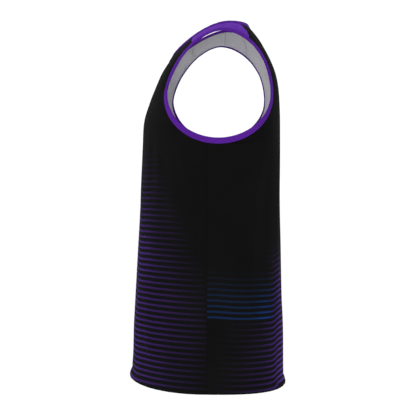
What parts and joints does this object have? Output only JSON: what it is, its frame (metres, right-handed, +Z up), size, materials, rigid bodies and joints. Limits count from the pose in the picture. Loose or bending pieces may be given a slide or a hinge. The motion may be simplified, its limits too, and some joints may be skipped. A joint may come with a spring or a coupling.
{
  "type": "training singlet",
  "caption": "Sleeveless round-neck training singlet in knitted mesh, worn form with no wearer, with bound neck and armholes and a turned hem.",
  "frame": {"origin": "midway between the two shoulder seams, at the height where the straps rest on a wearer", "axes": "+Z up along the body, -Y out of the chest, +X to the wearer's left"},
  "size_m": [0.396, 0.3178, 0.7309],
  "materials": {
    "black_mesh": "matt knitted polyester mesh, black outside and pale grey inside, with printed purple and blue stripes",
    "purple_mesh": "matt knitted polyester mesh, purple outside and pale grey inside",
    "purple_rib": "soft stretch knit binding, folded over the edge and stitched"
  },
  "bodies": {
    "root": {"front_panel": "black_mesh", "back_panel": "black_mesh", "shoulder_inset_front_left": "purple_mesh", "shoulder_inset_front_right": "purple_mesh", "shoulder_inset_back_left": "purple_mesh", "shoulder_inset_back_right": "purple_mesh", "neck_binding": "purple_rib", "armhole_binding_left": "purple_rib", "armhole_binding_right": "purple_rib"}
  },
  "joints": []
}
